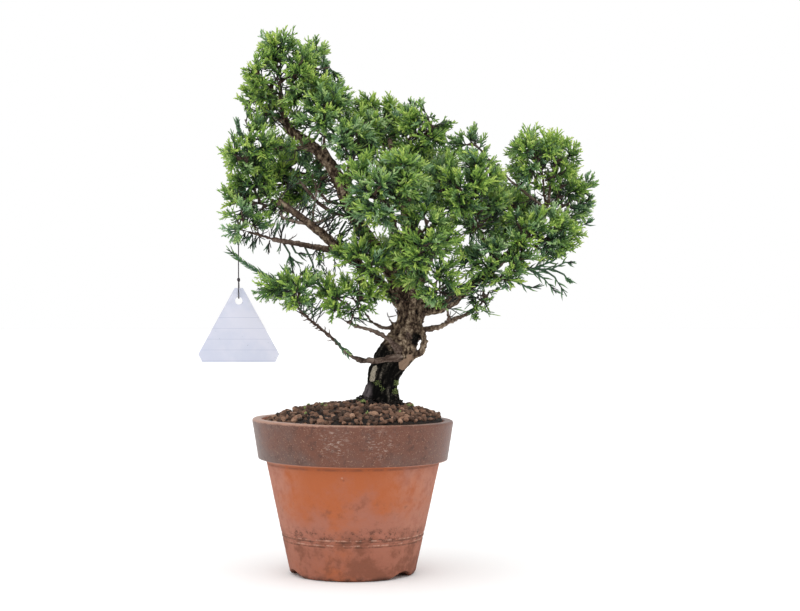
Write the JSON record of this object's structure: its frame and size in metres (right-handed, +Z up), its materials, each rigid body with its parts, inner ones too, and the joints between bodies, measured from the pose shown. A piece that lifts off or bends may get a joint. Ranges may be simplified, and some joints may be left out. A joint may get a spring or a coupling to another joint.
{
  "type": "juniper bonsai in a pot",
  "caption": "Informal juniper bonsai with cord-like scale foliage on a leaning trunk, in granular soil in a tapered terracotta pot with a dark rim band, a blank hang tag on a thread.",
  "frame": {"origin": "middle of the pot's underside, on the surface it stands on", "axes": "+Z up along the pot's axis, +X to the right and +Y to the back, seen from the front"},
  "size_m": [0.2999, 0.1862, 0.4068],
  "materials": {
    "terracotta": "matte fired clay, with a semi-matte dark brown rim band",
    "soil": "dry granules of baked clay",
    "drain_mesh": "matte black plastic",
    "bark": "rough dark flaking bark",
    "foliage": "satin green scale leaves",
    "thread": "dark twisted thread",
    "tag_plastic": "pale translucent plastic sheet"
  },
  "bodies": {
    "root": {"pot": "terracotta", "soil": "soil", "drain_mesh_1": "drain_mesh", "drain_mesh_2": "drain_mesh", "drain_mesh_3": "drain_mesh", "wood": "bark", "hang_thread": "thread", "hang_tag": "tag_plastic", "leafy_stem_01": "foliage", "leafy_stem_02": "foliage", "leafy_stem_03": "foliage", "leafy_stem_04": "foliage", "leafy_stem_05": "foliage", "leafy_stem_06": "foliage", "leafy_stem_07": "foliage", "leafy_stem_08": "foliage", "leafy_stem_09": "foliage", "leafy_stem_10": "foliage", "leafy_stem_11": "foliage", "leafy_stem_12": "foliage", "leafy_stem_13": "foliage", "leafy_stem_14": "foliage", "leafy_stem_15": "foliage", "leafy_stem_16": "foliage", "leafy_stem_17": "foliage", "leafy_stem_18": "foliage", "leafy_stem_19": "foliage", "leafy_stem_20": "foliage", "leafy_stem_21": "foliage", "leafy_stem_22": "foliage", "leafy_stem_23": "foliage", "leafy_stem_24": "foliage", "leafy_stem_25": "foliage", "leafy_stem_26": "foliage", "leafy_stem_27": "foliage", "leafy_stem_28": "foliage", "leafy_stem_29": "foliage", "leafy_stem_30": "foliage", "leafy_stem_31": "foliage", "leafy_stem_32": "foliage", "leafy_stem_33": "foliage", "leafy_stem_34": "foliage", "leafy_stem_35": "foliage", "leafy_stem_36": "foliage", "leafy_stem_37": "foliage", "leafy_stem_38": "foliage", "leafy_stem_39": "foliage", "leafy_stem_40": "foliage", "leafy_stem_41": "foliage", "leafy_stem_42": "foliage", "leafy_stem_43": "foliage", "leafy_stem_44": "foliage", "leafy_stem_45": "foliage", "leafy_stem_46": "foliage", "leafy_stem_47": "foliage", "leafy_stem_48": "foliage", "leafy_stem_49": "foliage", "leafy_stem_50": "foliage", "leafy_stem_51": "foliage", "leafy_stem_52": "foliage"}
  },
  "joints": []
}
